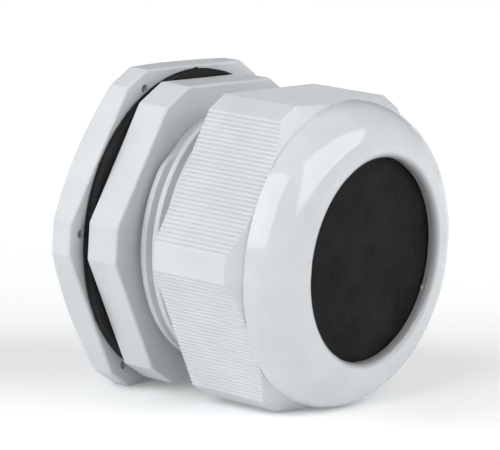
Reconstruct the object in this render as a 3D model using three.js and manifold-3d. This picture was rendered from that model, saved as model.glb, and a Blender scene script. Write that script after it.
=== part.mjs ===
// A large polyamide cable gland: threaded body with a claw cage, sealing insert, domed cap nut,
// loose dust disc, flat panel gasket and lock nut. Millimetres, +X along the cable axis towards
// the mouth, +Z up, origin on the axis halfway between the two ends.

import * as THREE from 'three';
import { mergeVertices } from 'three/addons/utils/BufferGeometryUtils.js';
import Module from 'manifold-3d';

const wasm = await Module();
wasm.setup();

// ---------------------------------------------------------------------------------------------
// Driving dimensions. A station is an X distance from the front face of the body's hexagon collar.
// ---------------------------------------------------------------------------------------------

// Every round surface has the same sides, so that a thread's ridge and its wall share their edges.
const ROUND_SIDES = 36;

const COLLAR = { acrossFlats: 64.7, acrossCorners: 70.1, length: 7.8, bevel: 0.5 };

const SPIGOT = { end: -20.8, boreRadius: 25, endChamfer: 0.6 };

const MOUNTING_THREAD = {
  pitch: 25.4 / 16,
  rootRadius: 28.8,
  crestRadius: 29.65,
  rootWidth: 1.1,
  crestWidth: 0.3,
};

const NECK = { end: 19, throatRadius: 22.4, throatStart: 3, ledge: 9, pocketRadius: 25 };

const NECK_THREAD = {
  pitch: 3,
  rootRadius: 27.4,
  crestRadius: 28.6,
  rootWidth: 1.75,
  crestWidth: 0.65,
};

const CLAW = { outerRadius: 27.1, tip: 30, tipRadius: 25.9, tipSlopeStart: 27.2, slots: 12, slotWidth: 2.2 };

const CAP = {
  rear: 10.75,
  acrossFlats: 65,
  acrossCorners: 71.7,
  ribsPerFlat: 31,
  ribDepth: 0.25,
  shoulder: 32.15,
  domeBaseRadius: 32.9,
  domeRadius: 9.7,
  cornerChamferDrop: 2.45,
  threadEnd: 22,
  threadStart: 12.2,
  mouthRadius: 21.8,
  mouthEdgeRadius: 1.4,
  lipBack: 39.5,
  pocketRadius: 25.2,
  coneSlope: 0.43,
  tightenTravel: 6,
  clawClearance: 0.4,
  entryChamfer: 0.6,
};

const LOCK_NUT = {
  front: -10.24,
  acrossFlats: 69.6,
  acrossCorners: 76.4,
  thickness: 8.3,
  bevel: 0.5,
  rearFaceRadius: 31.2,
  rearConeSlope: 0.47,
  dimpleRadius: 0.85,
  dimpleDepth: 1.6,
  dimpleCircle: 35.2,
  entryChamfer: 0.5,
};

const GASKET = { outerRadius: 34.1, innerRadius: 30, thickness: 2, edge: 0.3 };

const SEAL = { outerRadius: 24.7, boreRadius: 21.6, front: 30.6, gap: 0.3, edge: 1 };

const DUST_DISC = { radius: 24.8, thickness: 2, gap: 0.2, edge: 0.3 };

// Play left between a male thread and the nut that runs on it, across the crests.
const THREAD_PLAY = { neck: 0.35, mounting: 0.25 };

const PLASTIC = { color: 0xd9dcdd, roughness: 0.38, metalness: 0 };
const GLOSSY_PLASTIC = { color: 0xdcdfe0, roughness: 0.18, metalness: 0 };
const RUBBER = { color: 0x1c1d1e, roughness: 0.75, metalness: 0 };

// ---------------------------------------------------------------------------------------------
// Solids
// ---------------------------------------------------------------------------------------------

// Turns a closed three.js geometry into a solid, dropping triangles that collapse to a line.
function toSolid(geometry) {
  const bare = geometry.index ? geometry.clone() : geometry;
  bare.deleteAttribute('normal');
  bare.deleteAttribute('uv');
  const merged = mergeVertices(bare, 1e-5);
  const corners = merged.index.array;
  const kept = [];
  for (let i = 0; i < corners.length; i += 3) {
    const [a, b, c] = [corners[i], corners[i + 1], corners[i + 2]];
    if (a !== b && b !== c && c !== a) kept.push(a, b, c);
  }
  return new wasm.Manifold(new wasm.Mesh({
    numProp: 3,
    vertProperties: new Float32Array(merged.attributes.position.array),
    triVerts: new Uint32Array(kept),
  }));
}

function toMesh(name, solid, look) {
  const result = solid.getMesh();
  const geometry = new THREE.BufferGeometry();
  geometry.setAttribute('position', new THREE.BufferAttribute(new Float32Array(result.vertProperties), 3));
  geometry.setIndex(new THREE.BufferAttribute(new Uint32Array(result.triVerts), 1));
  geometry.computeVertexNormals();
  const mesh = new THREE.Mesh(geometry, new THREE.MeshStandardMaterial(look));
  mesh.name = name;
  return mesh;
}

const AXIS_X = new THREE.Vector3(1, 0, 0);
const AXIS_Y = new THREE.Vector3(0, 1, 0);
const AXIS_Z = new THREE.Vector3(0, 0, 1);
const LATHE_TO_X = new THREE.Matrix4().makeBasis(AXIS_Y, AXIS_X, AXIS_Z.clone().negate());
const EXTRUDE_TO_X = new THREE.Matrix4().makeBasis(AXIS_Y, AXIS_Z, AXIS_X);

// Revolves a closed outline of [x, radius] points about X. The outer side runs towards +X.
function revolve(outline) {
  const loop = [...outline, outline[0]].map(([x, radius]) => new THREE.Vector2(radius, x));
  return toSolid(new THREE.LatheGeometry(loop, ROUND_SIDES).applyMatrix4(LATHE_TO_X));
}

// Points of an arc in the [x, radius] plane; angle 0 points away from the axis, 90 towards +X.
function arc([centreX, centreRadius], size, fromDegrees, toDegrees, steps) {
  return Array.from({ length: steps + 1 }, (_, i) => {
    const angle = THREE.MathUtils.degToRad(fromDegrees + (toDegrees - fromDegrees) * i / steps);
    return [centreX + size * Math.sin(angle), centreRadius + size * Math.cos(angle)];
  });
}

// Outline, in Y and Z, of a hexagon whose six corners are cut off by short flats. The corners
// lie towards +-Y, and the top and bottom are flats. Ribs run across each long flat, if asked for.
function hexagonOutline({ acrossFlats, acrossCorners, ribsPerFlat = 0, ribDepth = 0 }) {
  const apothem = acrossFlats / 2;
  const cornerHalfWidth = acrossFlats - Math.sqrt(3) * acrossCorners / 2;
  const flatHalfWidth = Math.sqrt((acrossCorners / 2) ** 2 + cornerHalfWidth ** 2 - apothem ** 2);
  const points = [];
  for (let side = 0; side < 6; side += 1) {
    const facing = new THREE.Vector2(1, 0).rotateAround(new THREE.Vector2(), Math.PI * (side * 2 + 1) / 6);
    const along = new THREE.Vector2(-facing.y, facing.x);
    const place = (shift, depth) => points.push(
      facing.clone().multiplyScalar(apothem - depth).addScaledVector(along, shift),
    );
    place(-flatHalfWidth, 0);
    const ribPitch = 2 * flatHalfWidth / ribsPerFlat;
    for (let rib = 0; rib < ribsPerFlat; rib += 1) {
      if (rib > 0) place(-flatHalfWidth + rib * ribPitch, 0);
      place(-flatHalfWidth + (rib + 0.5) * ribPitch, ribDepth);
    }
    place(flatHalfWidth, 0);
  }
  return points;
}

// A hexagonal prism from fromX to toX, with both end edges bevelled.
function hexagonPrism(size, fromX, toX, bevel = 0) {
  const geometry = new THREE.ExtrudeGeometry(new THREE.Shape(hexagonOutline(size)), {
    depth: toX - fromX - 2 * bevel,
    bevelEnabled: bevel > 0,
    bevelThickness: bevel,
    bevelSize: bevel,
    bevelOffset: -bevel,
    bevelSegments: 1,
  });
  geometry.translate(0, 0, fromX + bevel);
  return toSolid(geometry.applyMatrix4(EXTRUDE_TO_X));
}

// ---------------------------------------------------------------------------------------------
// Threads. Every thread is one right-hand helical ridge that fades into its wall at both ends.
// ---------------------------------------------------------------------------------------------

const RIDGE_SINK = 0.3;
const FADE_STEPS = 5;
const FADED_HEIGHT = 0.02;

// The ridge stands on a wall at rootRadius and reaches crestRadius, outwards on a male thread
// and inwards on a nut. Its centre starts at start.x, at the angle of side number start.step.
function threadRidge({ pitch, rootRadius, crestRadius, rootWidth, crestWidth }, start, endX) {
  const steps = Math.floor((endX - start.x) / pitch * ROUND_SIDES);
  const outwards = Math.sign(crestRadius - rootRadius);
  const sunkRadius = rootRadius - outwards * RIDGE_SINK;
  const positions = [];
  for (let step = 0; step <= steps; step += 1) {
    const angle = 2 * Math.PI * (start.step + step) / ROUND_SIDES;
    const x = start.x + pitch * step / ROUND_SIDES;
    const fade = Math.min(1, step / FADE_STEPS, (steps - step) / FADE_STEPS);
    const crest = THREE.MathUtils.lerp(rootRadius, crestRadius, Math.max(fade, FADED_HEIGHT));
    const section = [
      [x - rootWidth / 2, sunkRadius],
      [x + rootWidth / 2, sunkRadius],
      [x + rootWidth / 2, rootRadius],
      [x + crestWidth / 2, crest],
      [x - crestWidth / 2, crest],
      [x - rootWidth / 2, rootRadius],
    ];
    for (const [stationX, radius] of section) {
      positions.push(stationX, radius * Math.cos(angle), radius * Math.sin(angle));
    }
  }
  const triangles = [];
  const quad = (a, b, c, d) => triangles.push(a, b, c, a, c, d);
  for (let step = 0; step < steps; step += 1) {
    for (let corner = 0; corner < 6; corner += 1) {
      const next = (corner + 1) % 6;
      quad(6 * step + corner, 6 * step + next, 6 * step + 6 + next, 6 * step + 6 + corner);
    }
  }
  const last = 6 * steps;
  quad(5, 2, 1, 0);
  quad(5, 4, 3, 2);
  quad(last, last + 1, last + 2, last + 5);
  quad(last + 2, last + 3, last + 4, last + 5);
  if (outwards < 0) triangles.reverse();
  const geometry = new THREE.BufferGeometry();
  geometry.setAttribute('position', new THREE.BufferAttribute(new Float32Array(positions), 3));
  geometry.setIndex(triangles);
  return toSolid(geometry);
}

// The nut's half of a thread: the same ridge facing inwards, with play across both crests.
function femaleThread(male, play) {
  return { ...male, rootRadius: male.crestRadius + play, crestRadius: male.rootRadius + play };
}

// The start of a nut's ridge near wantedX, on the centre line between two turns of the male ridge.
function startBetweenTurns(male, maleStart, wantedX) {
  const stepsAhead = Math.round(((wantedX - maleStart.x) / male.pitch - 0.5) * ROUND_SIDES);
  return {
    x: maleStart.x + male.pitch * (0.5 + stepsAhead / ROUND_SIDES),
    step: maleStart.step + stepsAhead,
  };
}

const NECK_THREAD_START = { x: 1.05, step: 13 };
const NECK_THREAD_END = 18.2;
const MOUNTING_THREAD_START = { x: -20.1, step: 0 };
const MOUNTING_THREAD_END = -8.4;

// ---------------------------------------------------------------------------------------------
// Pieces, each drawn at its own stations
// ---------------------------------------------------------------------------------------------

// One moulding: mounting spigot, hexagon collar, threaded neck, and the ring of claw fingers.
function glandBody() {
  const { end, boreRadius, endChamfer } = SPIGOT;
  const tube = revolve([
    [end, boreRadius],
    [end, MOUNTING_THREAD.rootRadius - endChamfer],
    [end + endChamfer, MOUNTING_THREAD.rootRadius],
    [-COLLAR.length / 2, MOUNTING_THREAD.rootRadius],
    [-COLLAR.length / 2, NECK_THREAD.rootRadius],
    [NECK.end, NECK_THREAD.rootRadius],
    [NECK.end + 0.4, CLAW.outerRadius],
    [CLAW.tipSlopeStart, CLAW.outerRadius],
    [CLAW.tip, CLAW.tipRadius],
    [CLAW.tip, NECK.pocketRadius],
    [NECK.ledge, NECK.pocketRadius],
    [NECK.ledge, NECK.throatRadius],
    [NECK.throatStart, NECK.throatRadius],
    [-COLLAR.length / 2, boreRadius],
  ]);
  const collarBore = revolve([
    [-COLLAR.length - 1, 0],
    [-COLLAR.length - 1, boreRadius + 1],
    [1, boreRadius + 1],
    [1, 0],
  ]);
  let body = hexagonPrism(COLLAR, -COLLAR.length, 0, COLLAR.bevel).subtract(collarBore).add(tube);
  body = body.add(threadRidge(NECK_THREAD, NECK_THREAD_START, NECK_THREAD_END));
  body = body.add(threadRidge(MOUNTING_THREAD, MOUNTING_THREAD_START, MOUNTING_THREAD_END));
  const slotLength = CLAW.tip - NECK.end + 1;
  for (let slot = 0; slot < CLAW.slots / 2; slot += 1) {
    const cutter = new THREE.BoxGeometry(slotLength, CLAW.slotWidth, 3 * CLAW.outerRadius);
    cutter.translate(NECK.end + slotLength / 2, 0, 0);
    cutter.rotateX(2 * Math.PI * (slot + 0.5) / CLAW.slots);
    body = body.subtract(toSolid(cutter));
  }
  return body;
}

// Rubber bush that grips the cable, standing on the neck's ledge inside the claw fingers.
function sealingInsert() {
  const { outerRadius, boreRadius, front, gap, edge } = SEAL;
  const rear = NECK.ledge + gap;
  return revolve([
    [rear, boreRadius + edge],
    [rear, outerRadius - edge / 2],
    [rear + edge / 2, outerRadius],
    [front - edge / 2, outerRadius],
    [front, outerRadius - edge / 2],
    [front, boreRadius + edge],
    [front - edge, boreRadius],
    [rear + edge, boreRadius],
  ]);
}

// Domed nut: ribbed hexagon behind, turned dome and mouth in front, thread and cone inside.
function capNut() {
  const thread = femaleThread(NECK_THREAD, THREAD_PLAY.neck);
  const cornerRadius = CAP.acrossCorners / 2;
  const chamferSlope = CAP.cornerChamferDrop / (cornerRadius - CAP.domeBaseRadius);
  const outside = CAP.acrossCorners;
  const envelope = revolve([
    [CAP.rear - 1, 0],
    [CAP.rear - 1, outside],
    [CAP.shoulder - chamferSlope * (outside - CAP.domeBaseRadius), outside],
    [CAP.shoulder, CAP.domeBaseRadius],
    [CAP.shoulder, 0],
  ]);
  const bore = revolve([
    [CAP.rear - 1, 0],
    [CAP.rear - 1, thread.rootRadius + CAP.entryChamfer],
    [CAP.rear, thread.rootRadius + CAP.entryChamfer],
    [CAP.rear + CAP.entryChamfer, thread.rootRadius],
    [CAP.shoulder + 1, thread.rootRadius],
    [CAP.shoulder + 1, 0],
  ]);
  const hexagon = hexagonPrism(CAP, CAP.rear, CAP.shoulder + 1).intersect(envelope).subtract(bore);

  const crest = CAP.shoulder + CAP.domeRadius;
  const crestRadius = CAP.mouthRadius + CAP.mouthEdgeRadius;
  const coneAtTip = CAP.clawClearance + CLAW.tipRadius;
  const coneStation = (radius) => CLAW.tip + CAP.tightenTravel + (coneAtTip - radius) / CAP.coneSlope;
  const dome = revolve([
    [coneStation(thread.rootRadius), thread.rootRadius],
    [CAP.shoulder - 0.6, CAP.acrossFlats / 2 - CAP.ribDepth - 0.4],
    ...arc([CAP.shoulder, CAP.domeBaseRadius - CAP.domeRadius], CAP.domeRadius, 0, 90, 7),
    ...arc([crest - CAP.mouthEdgeRadius, crestRadius], CAP.mouthEdgeRadius, 90, 180, 3).slice(1),
    [CAP.lipBack, CAP.mouthRadius],
    [CAP.lipBack, CAP.pocketRadius],
    [coneStation(CAP.pocketRadius), CAP.pocketRadius],
  ]);
  const ridgeStart = startBetweenTurns(NECK_THREAD, NECK_THREAD_START, CAP.threadStart);
  return hexagon.add(dome).add(threadRidge(thread, ridgeStart, CAP.threadEnd));
}

// Loose rubber disc that closes the mouth from behind the cap nut's lip until a cable goes in.
function dustDisc() {
  const { radius, thickness, gap, edge } = DUST_DISC;
  const front = CAP.lipBack - gap;
  const rear = front - thickness;
  return revolve([
    [rear, 0],
    [rear, radius - edge],
    [rear + edge, radius],
    [front - edge, radius],
    [front, radius - edge],
    [front, 0],
  ]);
}

// Flat rubber ring, held between the collar and the lock nut or the panel.
function panelGasket() {
  const { outerRadius, innerRadius, thickness, edge } = GASKET;
  const middle = (LOCK_NUT.front - COLLAR.length) / 2;
  const [rear, front] = [middle - thickness / 2, middle + thickness / 2];
  return revolve([
    [rear, innerRadius],
    [rear, outerRadius - edge],
    [rear + edge, outerRadius],
    [front - edge, outerRadius],
    [front, outerRadius - edge],
    [front, innerRadius],
  ]);
}

// Flat nut for the mounting thread, with its rear corners turned off to a cone.
function lockNut() {
  const thread = femaleThread(MOUNTING_THREAD, THREAD_PLAY.mounting);
  const { front, thickness, entryChamfer, rearFaceRadius, rearConeSlope } = LOCK_NUT;
  const rear = front - thickness;
  const outside = LOCK_NUT.acrossCorners;
  const envelope = revolve([
    [rear, 0],
    [rear, rearFaceRadius],
    [rear + rearConeSlope * (outside - rearFaceRadius), outside],
    [front + 1, outside],
    [front + 1, 0],
  ]);
  const bore = revolve([
    [rear - 1, 0],
    [rear - 1, thread.rootRadius + entryChamfer],
    [rear, thread.rootRadius + entryChamfer],
    [rear + entryChamfer, thread.rootRadius],
    [front - entryChamfer, thread.rootRadius],
    [front, thread.rootRadius + entryChamfer],
    [front + 1, thread.rootRadius + entryChamfer],
    [front + 1, 0],
  ]);
  let nut = hexagonPrism(LOCK_NUT, rear - LOCK_NUT.bevel, front, LOCK_NUT.bevel);
  nut = nut.intersect(envelope).subtract(bore);
  for (let corner = 0; corner < 6; corner += 1) {
    const dimple = new THREE.CylinderGeometry(
      LOCK_NUT.dimpleRadius, LOCK_NUT.dimpleRadius, 2 * LOCK_NUT.dimpleDepth, 12,
    );
    dimple.rotateZ(Math.PI / 2);
    dimple.translate(front, LOCK_NUT.dimpleCircle, 0);
    dimple.rotateX(Math.PI * corner / 3);
    nut = nut.subtract(toSolid(dimple));
  }
  const ridgeStart = startBetweenTurns(MOUNTING_THREAD, MOUNTING_THREAD_START, rear + 1.2);
  return nut.add(threadRidge(thread, ridgeStart, front - 1.1));
}

// ---------------------------------------------------------------------------------------------
// Assembly
// ---------------------------------------------------------------------------------------------

const gland = new THREE.Group();
gland.add(
  toMesh('gland_body', glandBody(), PLASTIC),
  toMesh('sealing_insert', sealingInsert(), RUBBER),
  toMesh('cap_nut', capNut(), GLOSSY_PLASTIC),
  toMesh('dust_disc', dustDisc(), RUBBER),
  toMesh('panel_gasket', panelGasket(), RUBBER),
  toMesh('lock_nut', lockNut(), PLASTIC),
);

// The two ends of the gland are the spigot's end and the dome's crest.
gland.position.x = -(SPIGOT.end + CAP.shoulder + CAP.domeRadius) / 2;

export default gland;
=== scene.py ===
import math

import bmesh
import bpy
import numpy as np
from mathutils import Matrix, Vector


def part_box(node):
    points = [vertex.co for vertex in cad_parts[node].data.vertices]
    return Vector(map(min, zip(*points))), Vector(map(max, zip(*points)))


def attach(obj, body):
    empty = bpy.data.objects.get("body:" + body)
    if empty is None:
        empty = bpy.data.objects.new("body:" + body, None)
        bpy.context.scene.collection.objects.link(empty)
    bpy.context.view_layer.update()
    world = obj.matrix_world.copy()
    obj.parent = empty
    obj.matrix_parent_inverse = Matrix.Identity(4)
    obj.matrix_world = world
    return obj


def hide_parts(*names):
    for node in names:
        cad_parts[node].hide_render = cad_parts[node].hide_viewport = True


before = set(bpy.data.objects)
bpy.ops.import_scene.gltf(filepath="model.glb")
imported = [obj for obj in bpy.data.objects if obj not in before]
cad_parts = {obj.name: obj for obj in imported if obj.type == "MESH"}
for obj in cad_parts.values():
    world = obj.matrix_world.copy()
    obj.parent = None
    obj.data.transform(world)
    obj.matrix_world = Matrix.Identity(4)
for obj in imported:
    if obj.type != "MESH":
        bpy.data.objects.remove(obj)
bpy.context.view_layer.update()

# ---------------------------------------------------------------------------------------------
# Sizes in metres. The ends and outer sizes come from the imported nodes.
# ---------------------------------------------------------------------------------------------

MM = 0.001
EDGE_BREAK = 0.3 * MM
ROUND_POINTS = 5

SPIGOT_END, _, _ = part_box("gland_body")[0]
CLAW_TIP, COLLAR_CORNER, COLLAR_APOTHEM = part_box("gland_body")[1]
CAP_REAR, _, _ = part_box("cap_nut")[0]
CAP_CREST, CAP_CORNER, DOME_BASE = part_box("cap_nut")[1]
LOCK_REAR, _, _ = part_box("lock_nut")[0]
LOCK_FRONT, LOCK_CORNER, LOCK_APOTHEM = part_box("lock_nut")[1]
GASKET_REAR, _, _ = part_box("panel_gasket")[0]
GASKET_FRONT, GASKET_RADIUS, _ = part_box("panel_gasket")[1]
SEAL_REAR, _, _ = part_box("sealing_insert")[0]
SEAL_FRONT, SEAL_RADIUS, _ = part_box("sealing_insert")[1]
DISC_REAR, _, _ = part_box("dust_disc")[0]
DISC_FRONT, DISC_RADIUS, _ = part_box("dust_disc")[1]

COLLAR_FRONT = SPIGOT_END + 20.8 * MM
COLLAR_REAR = COLLAR_FRONT - 7.8 * MM
SMALL_ROUND = 0.2 * MM
COLLAR_ROUND = 0.6 * MM
COLLAR_EDGE = 0.25 * MM
SPIGOT_BORE = 25 * MM
SPIGOT_CHAMFER = 0.6 * MM
SPIGOT_BORE_FRONT = COLLAR_FRONT - 3.9 * MM
THROAT_RADIUS = 22.4 * MM
THROAT_START = COLLAR_FRONT + 3 * MM
SEAL_LEDGE = COLLAR_FRONT + 9 * MM
SEAL_POCKET = 25 * MM
POCKET_CHAMFER = 0.2 * MM
NECK_FOOT = COLLAR_FRONT + 0.1 * MM
NECK_END = COLLAR_FRONT + 19 * MM
SMALL_FILLET = 0.5 * MM
CLAW_START = NECK_END + 0.4 * MM
CLAW_RADIUS = 27.1 * MM
CLAW_TIP_RADIUS = 25.9 * MM
CLAW_SLOPE_LENGTH = 2.8 * MM
TIP_ROUND = 0.3 * MM
CLAW_SLOTS = 12
CLAW_SLOT_WIDTH = 2.2 * MM
CUTTER_SPARE = 1 * MM

CAP_APOTHEM = 32.5 * MM
CAP_EDGE = 0.25 * MM
RIBS_PER_FLAT = 31
RIB_DEPTH = 0.27 * MM
# A groove takes this share of a rib's pitch, and each pitch has points at these places.
GROOVE_SHARE = 0.64
GROOVE_PLACES = [0, 0.18, 0.28, 0.38, 0.5, 0.62, 0.72, 0.82]
DOME_ROUND = 9.7 * MM
SHOULDER = CAP_CREST - DOME_ROUND
CHAMFER_SLOPE = 2.45 / 2.95
UNDERCUT = 0.23 * MM
CHAMFER_ROUND = 0.15 * MM
SEAM_DEPTH = 0.22 * MM
SEAM_WIDTH = 0.24 * MM
MOUTH_RADIUS = 21.8 * MM
MOUTH_ROUND = 1.4 * MM
LIP_BACK = DISC_FRONT + 0.2 * MM
LIP_CHAMFER = 0.15 * MM
NIB_TURN = math.radians(-22.4)
NIB_WIDTH = 0.4 * MM
NIB_HEIGHT = 0.38 * MM
DISC_POCKET = 25.2 * MM
# The cone meets the claw tips when the cap nut has screwed in by the tightening.
CONE_SLOPE = 0.43
CONE_PLAY = 0.4 * MM
CAP_TIGHTENING = 6 * MM
CONE_AT_CLAWS = CLAW_TIP + CAP_TIGHTENING
CONE_FRONT = CONE_AT_CLAWS + (CLAW_TIP_RADIUS + CONE_PLAY - DISC_POCKET) / CONE_SLOPE
ENTRY_CHAMFER = 0.6 * MM

LOCK_FACE_RADIUS = 31.2 * MM
LOCK_FACE_DROP = 0.05 * MM
LOCK_CONE_SLOPE = 0.47
LOCK_ROUND = 0.6 * MM
LOCK_EDGE = 0.25 * MM
DIMPLE_RADIUS = 0.95 * MM
DIMPLE_DEPTH = 2.2 * MM
DIMPLE_TAPER = 0.1
DIMPLE_SIDES = 28
DIMPLE_CIRCLE = 34.8 * MM
DIMPLE_TURN = math.radians(-1.7)

GASKET_BORE = 30 * MM
GASKET_ROUND = 0.2 * MM
GASKET_GROOVE = 0.25 * MM
# The nibs of flash are the peaks of a sum of waves, with this many of each round the ring.
GASKET_RAG = 0.12 * MM
RAG_COUNTS = (17, 29, 53, 97)
RAG_LIMIT = 1.6
RAG_PHASE = 2
GASKET_COLUMNS = 720
SEAL_BORE = 21.6 * MM
SEAL_ROUND = 0.8 * MM
SEAL_RIBS = 6
SEAL_RIB_DEPTH = 0.9 * MM
STEPS_PER_RIB = 8
DISC_ROUND = 0.35 * MM
DISC_RINGS = 16

# ---------------------------------------------------------------------------------------------
# Outlines across X, as complex numbers y + iz, and profiles along X, as (x, radius) pairs
# ---------------------------------------------------------------------------------------------

ROUND_COLUMNS = 144
TURNS = np.arange(ROUND_COLUMNS) / ROUND_COLUMNS
CIRCLE = np.exp(2j * math.pi * TURNS)
CUT_CORNER = math.radians(30)
FLAT_PLACES = np.linspace(-1, 1, 25)


def hexagon(apothem, corner, edge, places=FLAT_PLACES, depths=0):
    """A hexagon with its six corners cut off and every edge rounded over a width of edge.

    Two flats face up and down. Each flat has a point at every place, from -1 to 1.
    """
    half_corner = 2 * apothem - math.sqrt(3) * corner
    half_flat = math.sqrt(corner**2 + half_corner**2 - apothem**2)
    size = edge / math.tan(CUT_CORNER / 2)
    flat = apothem - depths + 1j * places * (half_flat - edge)
    corner_round = size * np.exp(1j * np.linspace(0, CUT_CORNER, ROUND_POINTS))
    hub = corner - size - 1j * (half_corner - edge)
    side = np.concatenate([
        flat,
        hub * np.exp(1j * CUT_CORNER) + corner_round,
        (hub.conjugate() + corner_round) * np.exp(1j * CUT_CORNER),
    ])
    return np.concatenate([side * np.exp(1j * math.radians(60 * k + 30)) for k in range(6)])


def arc(x, radius, size, from_degrees, to_degrees, steps):
    """An arc about (x, radius). 0 degrees points away from the axis and 90 degrees towards +X."""
    angles = np.radians(np.linspace(from_degrees, to_degrees, steps + 1))
    return [(x + size * math.sin(a), radius + size * math.cos(a)) for a in angles]


def smooth(t):
    """Rises from 0 to 1 with level ends."""
    t = np.clip(t, 0, 1)
    return t * t * (3 - 2 * t)


class Thread:
    """A right-hand helical ridge on a round wall. It fades into the wall at both ends.

    Sizes are in millimetres. The ridge starts at x = start and angle start_turn, in turns, and
    ends at x = end. Each end rises in 1 / fade of a turn.
    """

    FLANK_ROUND = 0.4

    def __init__(self, pitch, root, crest, root_width, crest_width, start, start_turn, end, fade=7):
        self.pitch, self.root, self.crest = pitch * MM, root * MM, crest * MM
        self.root_width, self.crest_width = root_width * MM, crest_width * MM
        self.start, self.start_turn, self.end = start, start_turn, end
        self.fade = fade

    def radius(self, x, turn):
        """The wall's radius at a station and an angle."""
        ahead = (x - self.start) / self.pitch - (turn - self.start_turn)
        ridge = np.round(ahead)
        away = np.abs(ahead - ridge) * self.pitch
        up_flank = (self.root_width / 2 - away) / (self.root_width - self.crest_width) * 2
        up_flank = np.clip(up_flank, 0, 1)
        rise = (1 - self.FLANK_ROUND) * up_flank + self.FLANK_ROUND * smooth(up_flank)
        wound = ridge + turn - self.start_turn
        left = (self.end - self.start) / self.pitch - wound
        fade = np.minimum(wound, left) * self.fade
        return self.root + (self.crest - self.root) * rise * smooth(fade)


NECK_PITCH = 3
MOUNTING_PITCH = 25.4 / 16

NECK_THREAD = Thread(NECK_PITCH, root=26.76, crest=28.6, root_width=2.7, crest_width=1.15,
                     start=COLLAR_FRONT + 1.45 * MM, start_turn=13 / 36,
                     end=NECK_END - 0.8 * MM, fade=20)
SPIGOT_THREAD = Thread(MOUNTING_PITCH, root=28.8, crest=29.65, root_width=1.2, crest_width=0.25,
                       start=SPIGOT_END + 0.7 * MM, start_turn=0, end=COLLAR_REAR - 0.6 * MM)

# The nuts' threads start this many turns after the threads that they run on, and half a pitch
# further on, so that each ridge lies in the other thread's groove.
CAP_TURNS_AHEAD = 116 / 36
LOCK_TURNS_AHEAD = 45 / 36

CAP_THREAD = Thread(NECK_PITCH, root=28.95, crest=27.75, root_width=1.95, crest_width=0.5,
                    start=NECK_THREAD.start + NECK_PITCH * MM * (0.5 + CAP_TURNS_AHEAD),
                    start_turn=NECK_THREAD.start_turn + CAP_TURNS_AHEAD,
                    end=COLLAR_FRONT + 22 * MM)
LOCK_THREAD = Thread(MOUNTING_PITCH, root=29.9, crest=29.05, root_width=1.2, crest_width=0.25,
                     start=SPIGOT_THREAD.start + MOUNTING_PITCH * MM * (0.5 + LOCK_TURNS_AHEAD),
                     start_turn=SPIGOT_THREAD.start_turn + LOCK_TURNS_AHEAD,
                     end=LOCK_FRONT - 1.1 * MM)

# ---------------------------------------------------------------------------------------------
# Closed skins made of rings of points around X
# ---------------------------------------------------------------------------------------------

WELD_DISTANCE = 0.002 * MM
SHARP_TURN = math.radians(33)
LARGE_FACE_WEIGHT = 60


class Skin:
    """One closed surface, made by joining each ring of points to the one before."""

    def __init__(self):
        self.points = np.empty((0, 3))
        self.faces = []
        self.first = self.last = None

    def add(self, x, outline):
        """Adds a ring's points and returns their numbers."""
        start = len(self.points)
        ring = np.stack([np.broadcast_to(x, outline.shape), outline.real, outline.imag], axis=1)
        self.points = np.concatenate([self.points, ring])
        return list(range(start, len(self.points)))

    def ring(self, x, outline):
        self.join(self.add(x, outline))

    def rings(self, profile, outline=CIRCLE):
        for x, radius in profile:
            self.ring(x, outline * radius)

    def join(self, ring):
        if self.last is None:
            self.first = ring
        elif len(ring) == len(self.last):
            for i in range(len(ring)):
                self.faces.append((self.last[i - 1], self.last[i], ring[i], ring[i - 1]))
        else:
            self.zip(self.last, ring)
        self.last = ring

    def zip(self, one, other):
        """Joins rings of different counts, always taking the next point in order of angle."""
        turns = np.arctan2(self.points[:, 2], self.points[:, 1]) / (2 * math.pi) % 1
        a, b = (sorted(ring, key=lambda i: turns[i]) for ring in (one, other))
        turns_a = [turns[i] for i in a] + [turns[a[0]] + 1]
        turns_b = [turns[i] for i in b] + [turns[b[0]] + 1]
        i = j = 0
        while i < len(a) or j < len(b):
            here, there = a[i % len(a)], b[j % len(b)]
            if j == len(b) or (i < len(a) and turns_a[i + 1] <= turns_b[j + 1]):
                i += 1
                self.faces.append((here, a[i % len(a)], there))
            else:
                j += 1
                self.faces.append((here, b[j % len(b)], there))

    def thread(self, thread, from_x, to_x, rows_per_turn):
        """A threaded wall, whose rows of points climb with the thread."""
        low, high = sorted((from_x, to_x))
        base = thread.start - math.ceil((thread.start - low) / thread.pitch) * thread.pitch
        rows = math.ceil((high - base) / thread.pitch + 2) * rows_per_turn
        grid = []
        for row in range(rows + 1):
            x = np.clip(base + thread.pitch * (row / rows_per_turn + TURNS - 1), low, high)
            grid.append(self.add(x, CIRCLE * thread.radius(x, TURNS)))
        for row in range(rows):
            after = min(row + rows_per_turn, rows)
            seam = [grid[after][0], grid[min(after + 1, rows)][0]]
            lower, upper = grid[row] + seam[:1], grid[row + 1] + seam[1:]
            for i in range(ROUND_COLUMNS):
                self.faces.append((lower[i], lower[i + 1], upper[i + 1], upper[i]))
        near, far = (grid[0], grid[-1]) if from_x < to_x else (grid[-1], grid[0])
        self.join(near)
        self.last = far

    def close(self):
        self.join(self.first)

    def mesh(self, name):
        mesh = bpy.data.meshes.new(name)
        mesh.from_pydata(self.points.tolist(), [], self.faces)
        bm = bmesh.new()
        bm.from_mesh(mesh)
        bmesh.ops.remove_doubles(bm, verts=bm.verts, dist=WELD_DISTANCE)
        bmesh.ops.recalc_face_normals(bm, faces=bm.faces)
        bm.to_mesh(mesh)
        bm.free()
        return mesh


def place(mesh):
    """Puts a mesh into the scene as an object of the same name."""
    piece = bpy.data.objects.new(mesh.name, mesh)
    bpy.context.scene.collection.objects.link(piece)
    return piece


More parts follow.
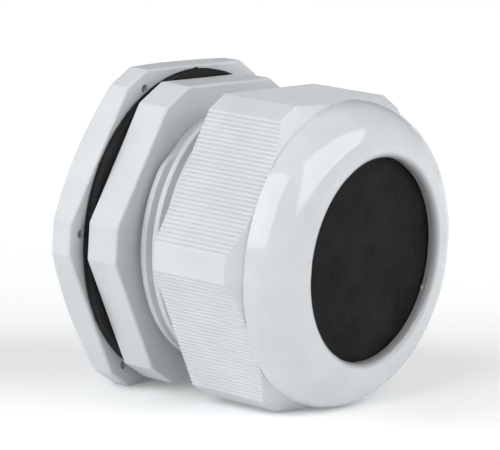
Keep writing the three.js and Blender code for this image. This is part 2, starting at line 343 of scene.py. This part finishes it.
def cut(piece, cutter):
    """Takes one mesh out of a piece."""
    tool = place(cutter)
    boolean = piece.modifiers.new("cut", "BOOLEAN")
    boolean.object = tool
    boolean.operation = "DIFFERENCE"
    boolean.solver = "EXACT"
    result = piece.evaluated_get(bpy.context.evaluated_depsgraph_get())
    mesh = bpy.data.meshes.new_from_object(result)
    piece.modifiers.remove(boolean)
    piece.data = mesh
    bpy.data.objects.remove(tool)


def mesh_of(bm, name):
    mesh = bpy.data.meshes.new(name)
    bm.to_mesh(mesh)
    bm.free()
    return mesh


def finish_surface(piece):
    """Smooth shading, except where the surface really turns."""
    bm = bmesh.new()
    bm.from_mesh(piece.data)
    for face in bm.faces:
        face.smooth = True
    for edge in bm.edges:
        edge.smooth = edge.calc_face_angle(0) < SHARP_TURN
    bm.to_mesh(piece.data)
    bm.free()
    weighted = piece.modifiers.new("weighted normals", "WEIGHTED_NORMAL")
    weighted.keep_sharp = True
    weighted.weight = LARGE_FACE_WEIGHT


def rounded_ends(rear, front, rear_size, front_size):
    """(x, inset) pairs across a rim whose two end edges are rounded."""
    angles = np.linspace(0, math.pi / 2, ROUND_POINTS)
    quarter = [(1 - math.cos(a), 1 - math.sin(a)) for a in angles]
    rear_edge = [(rear + rear_size * along, rear_size * inset) for along, inset in quarter]
    front_edge = [(front - front_size * along, front_size * inset) for along, inset in quarter]
    return rear_edge + front_edge[::-1]


# ---------------------------------------------------------------------------------------------
# Mouldings
# ---------------------------------------------------------------------------------------------


def gland_moulding():
    """Mounting spigot, hexagon collar, threaded neck and the ring of claw fingers, in one."""
    skin = Skin()
    skin.rings([
        (SPIGOT_END, SPIGOT_BORE + EDGE_BREAK),
        (SPIGOT_END, SPIGOT_THREAD.root - SPIGOT_CHAMFER),
        (SPIGOT_END + SPIGOT_CHAMFER, SPIGOT_THREAD.root),
    ])
    skin.thread(SPIGOT_THREAD, SPIGOT_END + SPIGOT_CHAMFER, COLLAR_REAR - SMALL_FILLET,
                rows_per_turn=10)
    skin.rings(fillet(COLLAR_REAR, SPIGOT_THREAD.root, SMALL_FILLET))
    for x, inset in rounded_ends(COLLAR_REAR, COLLAR_FRONT, SMALL_ROUND, COLLAR_ROUND):
        skin.ring(x, hexagon(COLLAR_APOTHEM - inset, COLLAR_CORNER - inset, COLLAR_EDGE))
    skin.rings([
        (COLLAR_FRONT, NECK_THREAD.root + SEAM_WIDTH),
        (COLLAR_FRONT - SEAM_DEPTH, NECK_THREAD.root + SEAM_WIDTH / 2),
        (COLLAR_FRONT, NECK_THREAD.root),
    ])
    skin.thread(NECK_THREAD, NECK_FOOT, NECK_END, rows_per_turn=14)
    skin.rings([
        (CLAW_START, CLAW_RADIUS),
        (CLAW_TIP - CLAW_SLOPE_LENGTH, CLAW_RADIUS),
        *arc(CLAW_TIP - TIP_ROUND, CLAW_TIP_RADIUS - TIP_ROUND, TIP_ROUND, 25, 90, 4),
        (CLAW_TIP, SEAL_POCKET + POCKET_CHAMFER),
        (CLAW_TIP - POCKET_CHAMFER, SEAL_POCKET),
        (SEAL_LEDGE, SEAL_POCKET),
        (SEAL_LEDGE, THROAT_RADIUS + EDGE_BREAK),
        (SEAL_LEDGE - EDGE_BREAK, THROAT_RADIUS),
        (THROAT_START, THROAT_RADIUS),
        (SPIGOT_BORE_FRONT, SPIGOT_BORE),
        (SPIGOT_END + EDGE_BREAK, SPIGOT_BORE),
    ])
    skin.close()
    piece = place(skin.mesh("gland_moulding"))
    cut(piece, claw_slots())
    return piece


def fillet(x, radius, size):
    """The inside round between a wall and the plate in front of it, whose face is at x."""
    angles = np.linspace(0, math.pi / 2, ROUND_POINTS)[1:]
    return [(x - size * (1 - math.sin(a)), radius + size * (1 - math.cos(a))) for a in angles]


def claw_slots():
    """The cutters that part the claw fingers."""
    bm = bmesh.new()
    length = CLAW_TIP - NECK_END + CUTTER_SPARE
    depth = CLAW_RADIUS - SEAL_POCKET + 2 * CUTTER_SPARE
    size = Matrix.Diagonal((length, depth, CLAW_SLOT_WIDTH, 1))
    middle = Matrix.Translation((NECK_END + length / 2, (CLAW_RADIUS + SEAL_POCKET) / 2, 0))
    for slot in range(CLAW_SLOTS):
        turn = Matrix.Rotation(2 * math.pi * (slot + 0.5) / CLAW_SLOTS, 4, "X")
        bmesh.ops.create_cube(bm, size=1, matrix=turn @ middle @ size)
    return mesh_of(bm, "claw_slots")


def cap_moulding():
    """Ribbed hexagon behind, turned dome and mouth in front, cone and thread inside.

    A nib of flash is left on the mouth's inner edge.
    """
    across = np.array([rib + share for rib in range(RIBS_PER_FLAT) for share in GROOVE_PLACES]
                      + [RIBS_PER_FLAT])
    from_groove = (across % 1 - 0.5) / GROOVE_SHARE
    groove = (1 + np.cos(2 * math.pi * np.clip(from_groove, -0.5, 0.5))) / 2
    places = across / RIBS_PER_FLAT * 2 - 1

    def outline(inset):
        return hexagon(CAP_APOTHEM - inset, CAP_CORNER - inset, CAP_EDGE,
                       places, RIB_DEPTH * groove)

    full = outline(0)
    reach = np.abs(full)
    above = np.maximum(reach - DOME_BASE, 0)
    below = np.clip((DOME_BASE - reach) / (DOME_BASE - CAP_APOTHEM), 0, 1)
    ends = SHOULDER - CHAMFER_SLOPE * above - UNDERCUT * below
    edge = np.minimum(CHAMFER_ROUND, above / 2)
    direction = full / reach
    skin = Skin()
    skin.rings([
        (CAP_REAR + ENTRY_CHAMFER, CAP_THREAD.root),
        (CAP_REAR, CAP_THREAD.root + ENTRY_CHAMFER),
    ])
    for x, inset in rounded_ends(CAP_REAR, SHOULDER, SMALL_ROUND, 0)[:ROUND_POINTS]:
        skin.ring(x, outline(inset))
    for t in np.linspace(0, 1, ROUND_POINTS):
        from_wall, onto_cone = (1 - t) ** 2 * edge, t ** 2 * edge
        skin.ring(ends - from_wall + CHAMFER_SLOPE * onto_cone, full - direction * onto_cone)
    skin.ring(SHOULDER - SEAM_WIDTH / 2, direction * np.minimum(reach, DOME_BASE))
    skin.ring(SHOULDER, direction * np.minimum(reach, DOME_BASE - SEAM_DEPTH))
    skin.rings([(SHOULDER + SEAM_WIDTH / 2, DOME_BASE)], direction)
    skin.rings(arc(SHOULDER, DOME_BASE - DOME_ROUND, DOME_ROUND, 3, 90, 20), direction)
    skin.rings(arc(CAP_CREST - MOUTH_ROUND, MOUTH_RADIUS + MOUTH_ROUND, MOUTH_ROUND, 90, 180, 8),
               direction)
    from_nib = (np.angle(full) - NIB_TURN) * MOUTH_RADIUS / NIB_WIDTH
    lip = MOUTH_RADIUS - NIB_HEIGHT * np.exp(-from_nib**2)
    skin.ring(LIP_BACK + 2 * NIB_WIDTH, direction * MOUTH_RADIUS)
    skin.ring(LIP_BACK + NIB_WIDTH, direction * lip)
    skin.ring(LIP_BACK + LIP_CHAMFER, direction * lip)
    skin.ring(LIP_BACK, direction * (lip + LIP_CHAMFER))
    cone_rear = CONE_FRONT - (CAP_THREAD.root - DISC_POCKET) / CONE_SLOPE
    skin.rings([
        (LIP_BACK, DISC_POCKET),
        (CONE_FRONT, DISC_POCKET),
        (cone_rear, CAP_THREAD.root),
    ])
    skin.thread(CAP_THREAD, cone_rear, CAP_REAR + ENTRY_CHAMFER, rows_per_turn=12)
    skin.close()
    return place(skin.mesh("cap_moulding"))


def lock_moulding():
    """Flat hexagon nut: rear corners turned off to a cone, and a dimple near each front corner."""
    outline = hexagon(LOCK_APOTHEM, LOCK_CORNER, LOCK_EDGE)
    reach = np.abs(outline)
    direction = outline / reach
    cone = LOCK_REAR + LOCK_CONE_SLOPE * (reach - LOCK_FACE_RADIUS)
    root = LOCK_THREAD.root
    skin = Skin()
    skin.rings([
        (LOCK_REAR + ENTRY_CHAMFER, root),
        (LOCK_REAR, root + ENTRY_CHAMFER),
        (LOCK_REAR, LOCK_FACE_RADIUS - EDGE_BREAK),
        (LOCK_REAR + LOCK_FACE_DROP, LOCK_FACE_RADIUS),
    ])
    for t in np.linspace(0, 1, ROUND_POINTS):
        onto_cone, from_cone = (1 - t) ** 2 * LOCK_ROUND, t ** 2 * LOCK_ROUND
        skin.ring(cone - LOCK_CONE_SLOPE * onto_cone + from_cone, outline - direction * onto_cone)
    for x, inset in rounded_ends(LOCK_REAR, LOCK_FRONT, 0, LOCK_ROUND)[ROUND_POINTS:]:
        skin.ring(x, hexagon(LOCK_APOTHEM - inset, LOCK_CORNER - inset, LOCK_EDGE))
    skin.rings([(LOCK_FRONT, root + ENTRY_CHAMFER), (LOCK_FRONT - ENTRY_CHAMFER, root)])
    skin.thread(LOCK_THREAD, LOCK_FRONT - ENTRY_CHAMFER, LOCK_REAR + ENTRY_CHAMFER,
                rows_per_turn=10)
    skin.close()
    piece = place(skin.mesh("lock_moulding"))
    cut(piece, dimples())
    return piece


def dimples():
    """The cutters for the blind holes near the lock nut's corners."""
    bm = bmesh.new()
    along = Matrix.Rotation(math.pi / 2, 4, "Y")
    for corner in range(6):
        turn = Matrix.Rotation(math.pi * corner / 3 + DIMPLE_TURN, 4, "X")
        middle = Matrix.Translation((LOCK_FRONT, DIMPLE_CIRCLE, 0))
        bmesh.ops.create_cone(bm, cap_ends=True, segments=DIMPLE_SIDES,
                              radius1=(1 - DIMPLE_TAPER) * DIMPLE_RADIUS,
                              radius2=(1 + DIMPLE_TAPER) * DIMPLE_RADIUS,
                              depth=2 * DIMPLE_DEPTH, matrix=turn @ middle @ along)
    return mesh_of(bm, "dimples")


# ---------------------------------------------------------------------------------------------
# Rubber
# ---------------------------------------------------------------------------------------------


def seal_bush():
    """Thick rubber bush with soft ribs round its bore."""
    skin = Skin()
    skin.rings([(x, SEAL_RADIUS - inset)
                for x, inset in rounded_ends(SEAL_REAR, SEAL_FRONT, SEAL_ROUND, SEAL_ROUND)])
    steps = SEAL_RIBS * STEPS_PER_RIB
    for step in range(steps + 1):
        share = step / steps
        x = SEAL_FRONT - SEAL_ROUND - share * (SEAL_FRONT - SEAL_REAR - 2 * SEAL_ROUND)
        wave = (1 - math.cos(2 * math.pi * SEAL_RIBS * share)) / 2
        skin.ring(x, CIRCLE * (SEAL_BORE + SEAL_RIB_DEPTH * (1 - wave)))
    skin.close()
    return place(skin.mesh("seal_bush"))


def mouth_disc():
    """Loose rubber disc behind the mouth."""
    skin = Skin()
    rim = [(x, DISC_RADIUS - inset)
           for x, inset in rounded_ends(DISC_REAR, DISC_FRONT, DISC_ROUND, DISC_ROUND)]
    inner = np.linspace(0, DISC_RADIUS - 2 * DISC_ROUND, DISC_RINGS)
    skin.rings([(DISC_REAR, radius) for radius in inner])
    skin.rings(rim)
    skin.rings([(DISC_FRONT, radius) for radius in reversed(inner)])
    return place(skin.mesh("mouth_disc"))


def gasket_ring():
    """Flat ring whose outer edges are two lips, with a few nibs of flash."""
    angles = np.arange(GASKET_COLUMNS) / GASKET_COLUMNS * 2 * math.pi
    circle = np.exp(1j * angles)
    profile = rounded_ends(GASKET_REAR, GASKET_FRONT, GASKET_ROUND, GASKET_ROUND)
    rim = [(x, GASKET_RADIUS - inset) for x, inset in profile]
    middle = np.linspace(GASKET_REAR, GASKET_FRONT, 9)[2:-2]
    rim[ROUND_POINTS:ROUND_POINTS] = [(x, GASKET_RADIUS - GASKET_GROOVE) for x in middle]
    skin = Skin()
    for x, radius in rim:
        phase = RAG_PHASE if x > middle[2] else 0
        rag = sum(np.sin(count * (angles + phase)) for count in RAG_COUNTS)
        on_lip = radius > GASKET_RADIUS - GASKET_GROOVE
        skin.ring(x, circle * (radius + GASKET_RAG * on_lip * np.maximum(rag - RAG_LIMIT, 0)))
    skin.rings([(x, GASKET_BORE + inset) for x, inset in reversed(profile)], circle)
    skin.close()
    return place(skin.mesh("gasket_ring"))


# ---------------------------------------------------------------------------------------------
# Materials
# ---------------------------------------------------------------------------------------------


# Painted shade: the colour of the mouth's inner wall, which stands in for the shade there.
MOUTH_PAINTED_SHADE = (0.27, 0.275, 0.28)
MOUTH_SHADE = 0.87
RUBBER_DARK = (0.0035, 0.0038, 0.0042)
DUST_WHITE = (0.25, 0.25, 0.26)
DUST_SHADE = 0.14
RUBBER_MOTTLE = 0.05
POLYAMIDE_DARK = (0.529, 0.554, 0.568)
POLYAMIDE_LIGHT = (0.566, 0.589, 0.603)
CLOUD_SIZE = 9 * MM
SATIN_SIZE = 2.5 * MM
SATIN_ROUGHNESS = (0.34, 0.44)
RIBBED_ROUGHNESS = (0.34, 0.42)
POLISHED_ROUGHNESS = (0.06, 0.09)
RUBBER_SPREAD = 0.06
RING_SPREAD = 0.03


class Look:
    """A material under construction: a Principled shader and the nodes that feed it."""

    def __init__(self, name):
        self.material = bpy.data.materials.new(name)
        self.material.use_nodes = True
        self.tree = self.material.node_tree
        self.shader = self.tree.nodes["Principled BSDF"]
        self.place = self.tree.nodes.new("ShaderNodeTexCoord").outputs["Object"]

    def set(self, **values):
        """Sets the shader's own sockets, for values that are the same all over."""
        for name, value in values.items():
            self.shader.inputs[name.replace("_", " ")].default_value = value
        return self

    def node(self, kind, inputs, **settings):
        node = self.tree.nodes.new(kind)
        for name, value in settings.items():
            setattr(node, name, value)
        for name, value in inputs.items():
            if isinstance(value, bpy.types.NodeSocket):
                self.tree.links.new(value, node.inputs[name])
            else:
                node.inputs[name].default_value = value
        return node

    def noise(self, size, detail=3, roughness=0.5):
        """Noise from 0 to 1 whose blotches are about the given size in metres."""
        inputs = {"Vector": self.place, "Scale": 1 / size, "Detail": detail, "Roughness": roughness}
        return self.node("ShaderNodeTexNoise", inputs).outputs["Fac"]

    def spread(self, value, low, high, from_low=0.3, from_high=0.7):
        """Maps from_low..from_high onto low..high and holds the ends."""
        inputs = {"Value": value, "From Min": from_low, "From Max": from_high,
                  "To Min": low, "To Max": high}
        return self.node("ShaderNodeMapRange", inputs).outputs["Result"]

    def add(self, value, other):
        return self.node("ShaderNodeMath", {0: value, 1: other}, operation="ADD").outputs[0]

    def multiply(self, value, other):
        return self.node("ShaderNodeMath", {0: value, 1: other}, operation="MULTIPLY").outputs[0]

    def split(self, axis):
        """The place along one axis."""
        return self.node("ShaderNodeSeparateXYZ", {"Vector": self.place}).outputs[axis]

    def from_axis(self):
        """Distance from the X axis."""
        across = self.node("ShaderNodeCombineXYZ", {"Y": self.split("Y"), "Z": self.split("Z")})
        return self.node("ShaderNodeVectorMath", {0: across.outputs[0]},
                         operation="LENGTH").outputs["Value"]

    def ring_noise(self, size):
        """Noise that only changes with the distance from the X axis."""
        return self.node("ShaderNodeTexNoise", {"W": self.from_axis(), "Scale": 1 / size},
                         noise_dimensions="1D").outputs["Fac"]

    def colour(self, value, dark, light, from_low=0.3, from_high=0.7):
        """Base colour between dark and light."""
        mix = self.node("ShaderNodeMix", {"Factor": self.spread(value, 0, 1, from_low, from_high)},
                        data_type="RGBA")
        # Inputs 6 and 7 are the two colours of a colour mix.
        mix.inputs[6].default_value = (*dark, 1)
        mix.inputs[7].default_value = (*light, 1)
        self.link(mix.outputs[2], "Base Color")

    def link(self, socket, name):
        self.tree.links.new(socket, self.shader.inputs[name])

    def bumps(self, *layers):
        """Layers are (height, distance in metres, strength)."""
        normal = None
        for height, distance, strength in layers:
            inputs = {"Height": height, "Distance": distance, "Strength": strength}
            if normal:
                inputs["Normal"] = normal
            normal = self.node("ShaderNodeBump", inputs).outputs["Normal"]
        self.link(normal, "Normal")


def satin_polyamide(name):
    """Pale grey nylon, slightly clouded, with a fine satin grain."""
    look = Look(name).set(IOR=1.53, Specular_IOR_Level=0.5)
    look.colour(look.noise(CLOUD_SIZE, 2), POLYAMIDE_DARK, POLYAMIDE_LIGHT)
    look.link(look.spread(look.noise(SATIN_SIZE), *SATIN_ROUGHNESS), "Roughness")
    look.bumps((look.noise(14 * MM, 1), 0.3 * MM, 0.25), (look.noise(0.35 * MM, 2), 0.02 * MM, 0.3))
    return look.material


def polished_polyamide(name):
    """Satin on the hexagon, polished on the dome, and darkened with painted shade inside the mouth.
    """
    look = Look(name).set(IOR=1.53, Specular_IOR_Level=0.5)
    # Painted shade: the colour turns dark grey inside the mouth, where the wall lies in shade.
    outside_mouth_shade = look.spread(look.from_axis(), 0, 1, MOUTH_RADIUS + 0.2 * MM,
                        MOUTH_RADIUS + MOUTH_ROUND)
    cloud = look.spread(look.noise(CLOUD_SIZE, 2), MOUTH_SHADE, 1)
    look.colour(look.multiply(outside_mouth_shade, cloud), MOUTH_PAINTED_SHADE, POLYAMIDE_LIGHT, 0, 1)
    satin = look.spread(look.noise(SATIN_SIZE), *RIBBED_ROUGHNESS)
    polish = look.spread(look.noise(6 * MM), *POLISHED_ROUGHNESS)
    on_dome = look.spread(look.split("X"), 0, 1, SHOULDER - 0.1 * MM, SHOULDER + 0.3 * MM)
    mix = look.node("ShaderNodeMix", {"Factor": on_dome, 2: satin, 3: polish})
    look.link(mix.outputs[0], "Roughness")
    look.bumps((look.noise(12 * MM, 1), 0.3 * MM, 0.1))
    return look.material


def rubber(name, roughness, gloss, speckle):
    """Nearly black, mottled, with sparse pale specks of dust and faint rings round the axis."""
    look = Look(name).set(IOR=1.5, Specular_IOR_Level=gloss)
    mottle = look.noise(CLOUD_SIZE, 8, 0.7)
    dust = look.spread(look.noise(0.7 * MM, 1), 0, DUST_SHADE, 0.73, 0.8)
    shade = look.add(look.spread(mottle, 0, RUBBER_MOTTLE), dust)
    look.colour(shade, RUBBER_DARK, DUST_WHITE, 0, 1)
    rings = look.spread(look.ring_noise(1.6 * MM), -RING_SPREAD, RING_SPREAD)
    wear = look.spread(mottle, roughness - RUBBER_SPREAD, roughness + RUBBER_SPREAD)
    look.link(look.add(rings, wear), "Roughness")
    look.bumps((look.noise(5 * MM, 3), 0.4 * MM, 0.35),
               (look.noise(0.25 * MM, 3), 0.05 * MM, speckle))
    return look.material


# ---------------------------------------------------------------------------------------------
# Assembly
# ---------------------------------------------------------------------------------------------

# Each piece: how it is made, the CAD node it replaces, its body, its material slot and its look.
PIECES = [
    (gland_moulding, "gland_body", "gland_body", "grey_polyamide", satin_polyamide("satin_body")),
    (seal_bush, "sealing_insert", "gland_body", "seal_rubber",
     rubber("seal_rubber_look", roughness=0.5, gloss=0.15, speckle=0.3)),
    (cap_moulding, "cap_nut", "cap_nut", "polished_polyamide", polished_polyamide("polished_cap")),
    (mouth_disc, "dust_disc", "dust_disc", "disc_rubber",
     rubber("disc_rubber_look", roughness=0.5, gloss=0.055, speckle=0.6)),
    (gasket_ring, "panel_gasket", "panel_gasket", "gasket_rubber",
     rubber("gasket_rubber_look", roughness=0.36, gloss=0.12, speckle=0.8)),
    (lock_moulding, "lock_nut", "lock_nut", "grey_polyamide", satin_polyamide("satin_lock_nut")),
]

for make, node, body, slot, material in PIECES:
    piece = make()
    piece.data.materials.clear()
    piece.data.materials.append(material)
    finish_surface(piece)
    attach(piece, body)
    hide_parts(node)

# ---------------------------------------------------------------------------------------------
# Floor, lights and camera
# ---------------------------------------------------------------------------------------------

CAMERA_AT = Vector((0.4067, -0.5295, 0.1243))
CAMERA_AIM = Vector((-0.0059, 0.004, 0.0013))
CAMERA_ROLL = math.radians(3.65)
CAMERA_LENS = 227
CAMERA_SENSOR = 36
CAMERA_CLIP = (0.01, 20)

# The floor is white by the gland and glows, faintly there and more away from the gland. Its front
# side turns grey, as painted shade for the dark side of the studio towards the camera. A reach
# gives the distances in metres from the gland where that begins and where it is complete.
FLOOR_SIZE = 4
FLOOR_WHITE = (0.88, 0.885, 0.89)
FLOOR_GREY = (0.45, 0.455, 0.46)
FLOOR_FRONT = (0.61, -0.79, 0)
FLOOR_FRONT_REACH = (0.06, 0.35)
FLOOR_GLOW = (0.15, 0.5)
FLOOR_GLOW_REACH = (0.1, 0.6)

# The world is brightest towards each wall. Directions and places are (right, up, back) as the
# camera sees them.
STUDIO_WHITE = (0.97, 0.985, 1, 1)
WALLS = [((-1, 0, 0), 1.15), ((1, 0, 0), 0.85), ((0, 0, 1), 0.15)]
HORIZON_BAND = (0.06, 0.2)
HORIZON_LIGHT = 0.9

# Each softbox: name, centre, half its width, half its height and radiance.
SOFTBOXES = [
    ("left_softbox", (-0.81, 0.59, 0.83), (0.52, -0.07, 0.41), (0.22, 0.56, -0.2), 2.7),
    ("right_softbox", (1.1, 0.645, 0.27), (0.735, 0.235, -0.41), (-0.155, 0.305, -0.11), 2.75),
    ("top_softbox", (0, 1.35, -0.1), (0.6, 0, 0), (0, 0, -0.6), 0.45),
]

# The gland lies on the lower front edge of its lock nut and on the dome's edge.
FLOOR_SLOPE = math.atan2(LOCK_APOTHEM - DOME_BASE, SHOULDER - LOCK_FRONT)
FLOOR_NORMAL = Vector((-math.sin(FLOOR_SLOPE), 0, math.cos(FLOOR_SLOPE)))
FLOOR_POINT = Vector((LOCK_FRONT, 0, -LOCK_APOTHEM))


def frame_from(back, up):
    """A rotation whose local Z is back and whose local Y is as near to up as it can be."""
    z = back.normalized()
    x = up.cross(z).normalized()
    return Matrix((x, z.cross(x), z)).transposed()


def add_camera():
    """Adds the camera and returns its rotation."""
    data = bpy.data.cameras.new("camera")
    data.lens = CAMERA_LENS
    data.sensor_width = CAMERA_SENSOR
    data.clip_start, data.clip_end = CAMERA_CLIP
    camera = bpy.data.objects.new("camera", data)
    bpy.context.scene.collection.objects.link(camera)
    level = frame_from(CAMERA_AT - CAMERA_AIM, Vector((0, 0, 1)))
    facing = level @ Matrix.Rotation(CAMERA_ROLL, 3, "Z")
    camera.matrix_world = Matrix.Translation(CAMERA_AT) @ facing.to_4x4()
    bpy.context.scene.camera = camera
    return facing


def add_floor():
    """A white floor that glows, most far from the gland; its pale grey front side is painted shade.
    """
    bm = bmesh.new()
    bmesh.ops.create_grid(bm, x_segments=8, y_segments=8, size=FLOOR_SIZE)
    floor = place(mesh_of(bm, "floor"))
    floor.matrix_world = (Matrix.Translation(FLOOR_POINT)
                          @ frame_from(FLOOR_NORMAL, Vector((0, 1, 0))).to_4x4())
    look = Look("floor_white").set(Roughness=0.9, Specular_IOR_Level=0.1,
                                   Emission_Color=(1, 1, 1, 1))
    towards = look.node("ShaderNodeVectorMath", {0: look.place, 1: FLOOR_FRONT},
                        operation="DOT_PRODUCT").outputs["Value"]
    # Painted shade: the floor's front side turns grey and does not glow.
    lit = look.spread(towards, 1, 0, *FLOOR_FRONT_REACH)
    look.colour(lit, FLOOR_GREY, FLOOR_WHITE, 0, 1)
    away = look.node("ShaderNodeVectorMath", {0: look.place}, operation="LENGTH").outputs["Value"]
    glow = look.spread(away, *FLOOR_GLOW, *FLOOR_GLOW_REACH)
    look.link(look.multiply(glow, lit), "Emission Strength")
    floor.data.materials.append(look.material)


def add_softbox(name, centre, across, rise, radiance, facing):
    """A rectangular light, given by its centre and its two half-axes as the camera sees them.

    All three are (right, up, back) in metres from the gland.
    """
    across, rise = facing @ Vector(across), facing @ Vector(rise)
    x, z = across.normalized(), across.cross(rise).normalized()
    data = bpy.data.lights.new(name, "AREA")
    data.shape = "RECTANGLE"
    data.size = 2 * across.length
    data.size_y = 2 * rise.length
    data.energy = radiance * math.pi * data.size * data.size_y
    light = bpy.data.objects.new(name, data)
    bpy.context.scene.collection.objects.link(light)
    turn = Matrix((x, z.cross(x), z)).transposed()
    light.matrix_world = Matrix.Translation(facing @ Vector(centre)) @ turn.to_4x4()


def add_world(facing):
    """Pale walls, brighter on some sides, that turn white towards the horizon."""
    world = bpy.data.worlds.new("studio")
    world.use_nodes = True
    tree = world.node_tree

    def node(kind, operation, *inputs):
        made = tree.nodes.new(kind)
        made.operation = operation
        for socket, value in zip(made.inputs, inputs):
            if isinstance(value, bpy.types.NodeSocket):
                tree.links.new(value, socket)
            else:
                socket.default_value = value
        return made.outputs["Value"]

    direction = tree.nodes.new("ShaderNodeTexCoord").outputs["Generated"]
    total = 0
    for towards, strength in WALLS:
        level = facing @ Vector(towards)
        level.z = 0
        along = node("ShaderNodeVectorMath", "DOT_PRODUCT", direction, level.normalized())
        lobe = node("ShaderNodeMath", "POWER", node("ShaderNodeMath", "MAXIMUM", along, 0), 2)
        total = node("ShaderNodeMath", "MULTIPLY_ADD", lobe, strength, total)
    height = node("ShaderNodeVectorMath", "DOT_PRODUCT", direction, (0, 0, 1))
    mix = tree.nodes.new("ShaderNodeMapRange")
    mix.interpolation_type = "SMOOTHSTEP"
    mix.inputs["From Min"].default_value, mix.inputs["From Max"].default_value = HORIZON_BAND
    mix.inputs["To Min"].default_value = HORIZON_LIGHT
    tree.links.new(height, mix.inputs["Value"])
    tree.links.new(total, mix.inputs["To Max"])
    background = tree.nodes["Background"]
    background.inputs["Color"].default_value = STUDIO_WHITE
    tree.links.new(mix.outputs[0], background.inputs["Strength"])
    bpy.context.scene.world = world


camera_facing = add_camera()
add_floor()
add_world(camera_facing)
for softbox in SOFTBOXES:
    add_softbox(*softbox, camera_facing)
bpy.context.scene.view_settings.view_transform = "Standard"
